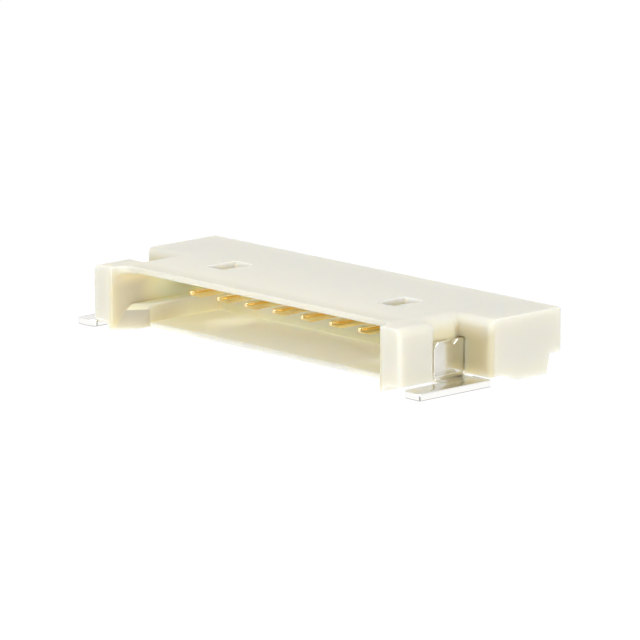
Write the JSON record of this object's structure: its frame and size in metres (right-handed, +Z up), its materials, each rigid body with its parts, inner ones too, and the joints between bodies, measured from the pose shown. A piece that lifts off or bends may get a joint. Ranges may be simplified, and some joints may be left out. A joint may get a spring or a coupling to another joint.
{
  "type": "rectangular connector",
  "caption": "Low-profile right-angle board header: ivory shell open at the front, a row of gold pins inside, solder tails at the rear and a soldered metal nail at each end.",
  "frame": {"origin": "on the board's surface, under the middle of the whole header", "axes": "+X along the contact row, +Y from the mouth towards the solder tails, +Z up from the board"},
  "size_m": [0.0152, 0.0064, 0.002],
  "materials": {
    "housing_plastic": "natural ivory moulded nylon, slightly translucent, satin",
    "contact_gold": "gold plating over a copper alloy, smooth",
    "nail_tin": "bright tin plating over sheet metal"
  },
  "bodies": {
    "root": {"housing": "housing_plastic", "contact_1": "contact_gold", "contact_2": "contact_gold", "contact_3": "contact_gold", "contact_4": "contact_gold", "contact_5": "contact_gold", "contact_6": "contact_gold", "contact_7": "contact_gold", "contact_8": "contact_gold", "fitting_nail_left": "nail_tin", "fitting_nail_right": "nail_tin"}
  },
  "joints": []
}
